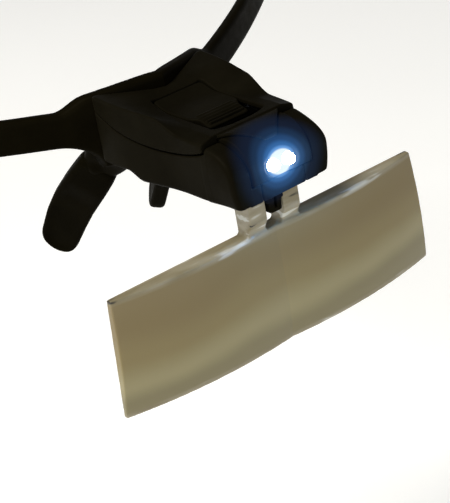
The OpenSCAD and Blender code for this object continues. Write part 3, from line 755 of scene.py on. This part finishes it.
def acrylic(name, node):
    """Cast acrylic with a warm tint, lighter and darker in soft bands up the plate as painted reflection and
    refraction, with painted reflections inside its rims: dark streaks and pale glints.
    """
    foot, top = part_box(node)[0].z, ORIGIN.z + PLATE_TOP * MM
    material = bpy.data.materials.new(name)
    tree, shader = nodes_of(material)
    place = tree.nodes.new("ShaderNodeTexCoord")
    split = tree.nodes.new("ShaderNodeSeparateXYZ")
    tree.links.new(place.outputs["Object"], split.inputs["Vector"])
    height = maths(tree, "MULTIPLY", maths(tree, "SUBTRACT", split.outputs["Z"], foot), 1 / (top - foot))
    drift = maths(tree, "MULTIPLY", maths(tree, "SUBTRACT", grain(tree, 22, 2, 0.5), 0.5), 0.4)
    # Painted light: the warm tint is lighter and darker by height up the plate, standing in for reflection
    # and refraction.
    tint_and_painted_bands = ramped(tree, maths(tree, "ADD", height, drift), (
        (0.0, (0.21, 0.18, 0.095)), (0.1, (0.205, 0.175, 0.09)), (0.26, (0.285, 0.245, 0.125)),
        (0.5, (0.225, 0.175, 0.075)), (0.75, (0.2, 0.15, 0.065)), (1.0, (0.215, 0.165, 0.08))))
    stretch = tree.nodes.new("ShaderNodeMapping")
    stretch.inputs["Scale"].default_value = (1.0, 4.0, 7.0)
    streaks = tree.nodes.new("ShaderNodeTexNoise")
    streaks.inputs["Scale"].default_value = 62
    tree.links.new(place.outputs["Object"], stretch.inputs["Vector"])
    tree.links.new(stretch.outputs["Vector"], streaks.inputs["Vector"])
    # Painted reflections along the top and bottom rims: dark streaks and pale glints.
    painted_rim_reflections = ramped(tree, streaks.outputs["Fac"], (
        (0.0, (0.015, 0.015, 0.012)), (0.29, (0.025, 0.023, 0.02)), (0.35, (0.22, 0.185, 0.11)),
        (0.6, (0.3, 0.265, 0.18)), (0.68, (0.55, 0.54, 0.47))))
    edge = maths(tree, "ABSOLUTE", maths(tree, "SUBTRACT", height, 0.5), 0)
    reach = tree.nodes.new("ShaderNodeMapRange")
    reach.inputs["From Min"].default_value = 0.452
    reach.inputs["From Max"].default_value = 0.485
    tree.links.new(edge, reach.inputs["Value"])
    blend = tree.nodes.new("ShaderNodeMix")
    blend.data_type = "RGBA"
    factor, first, second = (blend.inputs[i] for i in (0, 6, 7))
    for value, socket in ((reach.outputs["Result"], factor), (tint_and_painted_bands, first), (painted_rim_reflections, second)):
        tree.links.new(value, socket)
    tree.links.new(blend.outputs[2], shader.inputs["Base Color"])
    tree.links.new(ranged(tree, grain(tree, 160, 4), 0.16, 0.26), shader.inputs["Roughness"])
    bumped(tree, shader, grain(tree, 90, 1), 0.1, 0.00005)
    shader.inputs["Specular IOR Level"].default_value = 0.3
    shader.inputs["Transmission Weight"].default_value = 0.1
    shader.inputs["IOR"].default_value = 1.49
    return material


def glowing(name, colour, strength):
    """A lit lamp's clear body."""
    material = bpy.data.materials.new(name)
    tree, shader = nodes_of(material)
    spots = mixed(tree, grain(tree, 900, 2), colour, (1, 1, 1))
    tree.links.new(spots, shader.inputs["Emission Color"])
    tree.links.new(spots, shader.inputs["Base Color"])
    tree.links.new(ranged(tree, grain(tree, 900, 2), 0.05, 0.12), shader.inputs["Roughness"])
    shader.inputs["Emission Strength"].default_value = strength
    return material


def paint(piece, material):
    """Makes a material the piece's only one."""
    if piece.type == "MESH" and len(piece.data.materials):
        for slot in piece.material_slots:
            slot.material = material
    else:
        piece.data.materials.append(material)


# The paints

BLACK = moulded("black_plastic", (0.0028, 0.0022, 0.0008), (0.0042, 0.0033, 0.0013), (0.36, 0.5))
# The shells' plastic carries the lamps' light as painted glow, an emission round the lamps.
SHELL = paint_lamp_glow(
    moulded("shell_plastic", (0.0042, 0.0035, 0.0018), (0.006, 0.0051, 0.0028), (0.34, 0.46)))
# Near-black paint for the gap's floor and shelf: painted shade where the recess is dark.
PAINTED_SHADE = moulded("gap_painted_shade", (0.0005, 0.0005, 0.0004), (0.0009, 0.0008, 0.0006), (0.6, 0.7), gloss=0.0)
RUBBER = moulded("pad_rubber", (0.0026, 0.0021, 0.0008), (0.004, 0.0032, 0.0013), (0.5, 0.65),
                 1800, 0.00005, 0.02)
LENS = acrylic("lens_acrylic", "lens_plate")
LAMP = glowing("lamp_glow", (0.55, 0.75, 1.0), 40)
STEEL = metal("screw_steel", (0.35, 0.34, 0.32), (0.55, 0.54, 0.52), (0.25, 0.45))
CELL = metal("cell_steel", (0.5, 0.5, 0.48), (0.68, 0.67, 0.64), (0.18, 0.32))
BRASS = metal("contact_steel", (0.55, 0.52, 0.45), (0.7, 0.67, 0.6), (0.2, 0.35))
GREY = moulded("switch_grey", (0.05, 0.05, 0.05), (0.08, 0.08, 0.078), (0.35, 0.5))
GREEN = moulded("board_green", (0.01, 0.06, 0.02), (0.02, 0.09, 0.035), (0.3, 0.45))
RED = moulded("lead_red", (0.25, 0.015, 0.012), (0.35, 0.03, 0.02), (0.4, 0.55))
INK = moulded("lead_black", (0.008, 0.008, 0.008), (0.014, 0.014, 0.014), (0.4, 0.55))


def placed(piece, material, body, slot, *nodes):
    """Paints a piece, sets its body and puts it in the place of CAD nodes. The slot is not used."""
    paint(piece, material)
    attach(piece, body)
    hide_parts(*nodes)
    return piece


placed(solid("upper_casing", upper_shell_field, (-17, FRONT_Y, 8), (17, 48, 20), 0.3, 0.4),
       SHELL, "frame", "shell_plastic", "upper_shell")
placed(solid("gap_floor", gap_floor_field, (-8.5, 8, 8.5), (8.5, 22.5, 15.5), 0.2, 0.6),
       PAINTED_SHADE, "frame", "shell_plastic", "upper_shell")
placed(solid("lower_casing", lower_shell_field, (-17, FRONT_Y, 0), (17, 48, 15), 0.3, 0.4),
       SHELL, "frame", "shell_plastic", "lower_shell")
placed(solid("battery_lid", battery_cover_field, (-8, 14, 13), (8, 35, 18), 0.2, 0.6),
       SHELL, "cover", "shell_plastic", "battery_cover")
placed(solid("prong_socket", lens_socket_field, (-9, FRONT_Y, -6.5), (9, 11, 4.5), 0.2, 0.5),
       SHELL, "frame", "shell_plastic", "lens_socket")
placed(solid("lamp_drum", lamp_pod_field, (-8.5, -2, 4), (8.5, 11, 14), 0.2, 0.6),
       SHELL, "pod", "shell_plastic", "lamp_pod")
for side, field in (("left", lamp_field), ("right", other_side(lamp_field))):
    x0, x1 = (0, 4.2) if side == "left" else (-4.2, 0)
    placed(solid("lamp_lens_" + side, field, (x0, -3, 5.1), (x1, 3.6, 9.3), 0.12, 0.5),
           LAMP, "pod", "lamp_clear", "lamp_" + side)
placed(solid("brow_bar", brow_frame_field, (-76, 36, -13), (76, 98, 22), 0.5, 1.0),
       BLACK, "frame", "frame_plastic", "brow_frame")
for side, field in (("left", nose_pad_field), ("right", other_side(nose_pad_field))):
    x0, x1 = (2, 26) if side == "left" else (-26, -2)
    pad = placed(solid("soft_pad_" + side, field, (x0, 50, -34), (x1, 84, 0), 0.35, 1.0),
                 RUBBER, "frame", "pad_rubber", "nose_pad_" + side)
for side, wrap in (("left", lambda f: f), ("right", other_side)):
    x0, x1 = (66, 76) if side == "left" else (-76, -66)
    placed(solid("arm_" + side, wrap(temple_field), (x0, 89, 8), (x1, 170, 22), 0.4, 0.7),
           BLACK, side + "_temple", "frame_plastic", "temple_" + side)
    placed(solid("ear_tip_" + side, wrap(temple_tip_field), (x0, 158, -16), (x1, 207, 20), 0.4, 0.7),
           RUBBER, side + "_temple", "pad_rubber", "temple_tip_" + side)
placed(solid("lens_slab", lens_plate_field, (-46, 2, -39), (46, 10, 4.5), 0.4, 1.0),
       LENS, "lens", "lens_acrylic", "lens_plate")

FINISHES = {
    "battery_cell_right": CELL, "battery_cell_middle": CELL, "battery_cell_left": CELL,
    "contact_positive": BRASS, "contact_negative": BRASS, "lead_positive": RED, "lead_negative": INK,
    "switch_body": GREY, "switch_slider": GREY, "lamp_board": GREEN,
    "pod_pins": STEEL, "hinge_screw_right": STEEL, "hinge_screw_left": STEEL, "shell_screws": STEEL,
    "frame_screws": STEEL,
}
for node, finish in FINISHES.items():
    paint(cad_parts[node], finish)


# Stage, lights and camera

FLOOR_GAP, FLOOR_HALF = 0.11, 3.0


def stage():
    """A plain pale floor under the part."""
    low = CAD_BOX[0]
    mesh = bpy.data.meshes.new("floor")
    z = low.z - FLOOR_GAP
    corners = [(x * FLOOR_HALF, y * FLOOR_HALF, z) for x, y in ((-1, -1), (1, -1), (1, 1), (-1, 1))]
    mesh.from_pydata(corners, [], [(0, 1, 2, 3)])
    floor = bpy.data.objects.new("floor", mesh)
    bpy.context.scene.collection.objects.link(floor)
    material = bpy.data.materials.new("floor_paint")
    tree, shader = nodes_of(material)
    paint_colour = mixed(tree, grain(tree, 3, 2), (0.86, 0.86, 0.85), (0.9, 0.9, 0.89))
    tree.links.new(paint_colour, shader.inputs["Base Color"])
    shader.inputs["Roughness"].default_value = 0.9
    shader.inputs["Emission Color"].default_value = (1, 1, 0.99, 1)
    shader.inputs["Emission Strength"].default_value = 0.3
    mesh.materials.append(material)


KEY = {"place": (-0.5, 0.1, 0.9), "size": 0.5, "power": 12, "colour": (1.0, 0.96, 0.88)}
FILL = {"place": (-0.7, -0.8, 0.35), "size": 0.8, "power": 4, "colour": (0.9, 0.95, 1.0)}


def area_light(name, place, size, power, colour):
    """A round light at a place, turned to the part's origin."""
    data = bpy.data.lights.new(name, "AREA")
    data.shape, data.size, data.energy, data.color = "DISK", size, power, colour
    light = bpy.data.objects.new(name, data)
    light.location = place
    light.rotation_mode = "QUATERNION"
    light.rotation_quaternion = Vector(place).to_track_quat("Z", "Y")
    bpy.context.scene.collection.objects.link(light)
    return light


def lighting():
    """A pale surround that is bright near the horizon, a key light above and a fill at the front."""
    world = bpy.data.worlds.new("studio")
    world.use_nodes = True
    tree = world.node_tree
    place = tree.nodes.new("ShaderNodeTexCoord")
    split = tree.nodes.new("ShaderNodeSeparateXYZ")
    ramp = tree.nodes.new("ShaderNodeValToRGB")
    ramp.color_ramp.elements[0].position, ramp.color_ramp.elements[0].color = 0.12, (0.92, 0.93, 0.95, 1)
    ramp.color_ramp.elements[1].position, ramp.color_ramp.elements[1].color = 0.34, (0.13, 0.135, 0.14, 1)
    tree.links.new(place.outputs["Generated"], split.inputs["Vector"])
    tree.links.new(split.outputs["Z"], ramp.inputs["Fac"])
    tree.links.new(ramp.outputs["Color"], tree.nodes["Background"].inputs["Color"])
    bpy.context.scene.world = world
    bpy.context.scene.view_settings.view_transform = "Standard"
    area_light("key", **KEY)
    area_light("fill", **FILL)


GLOW_POWER = 0.008
GLOW_AHEAD = 0.002    # each lamp's light stands this far in front of it


def lamp_glow():
    """The light that the two lamps throw on what is round them."""
    for name in ("lamp_right", "lamp_left"):
        low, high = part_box(name)
        data = bpy.data.lights.new("glow_" + name, "POINT")
        data.energy, data.color, data.shadow_soft_size = GLOW_POWER, (0.2, 0.45, 1.0), 0.0012
        light = bpy.data.objects.new("glow_" + name, data)
        light.location = ((low.x + high.x) / 2, low.y - GLOW_AHEAD, (low.z + high.z) / 2)
        bpy.context.scene.collection.objects.link(light)
        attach(light, "pod")


AZIMUTH, ELEVATION, ROLL = -33.83, 26.11, 10.44
AIM = Vector((-1.1, -35.3, -9.8)) * MM
DISTANCE, LENS_LENGTH, SENSOR = 0.43, 132.6, 36


def camera():
    """The camera: it looks at AIM from an azimuth and an elevation, rolled about its own axis."""
    a, e, r = (math.radians(v) for v in (AZIMUTH, ELEVATION, ROLL))
    back = Vector((math.sin(a) * math.cos(e), -math.cos(a) * math.cos(e), math.sin(e)))
    level = Vector((math.cos(a), math.sin(a), 0))
    up = back.cross(level)
    right = level * math.cos(r) - up * math.sin(r)
    data = bpy.data.cameras.new("camera")
    data.lens, data.sensor_width, data.clip_start = LENS_LENGTH, SENSOR, 0.01
    eye = bpy.data.objects.new("camera", data)
    eye.matrix_world = Matrix.Translation(AIM + back * DISTANCE) @ Matrix(
        (right, back.cross(right), back)).transposed().to_4x4()
    bpy.context.scene.collection.objects.link(eye)
    bpy.context.scene.camera = eye


stage()
lighting()
lamp_glow()
camera()
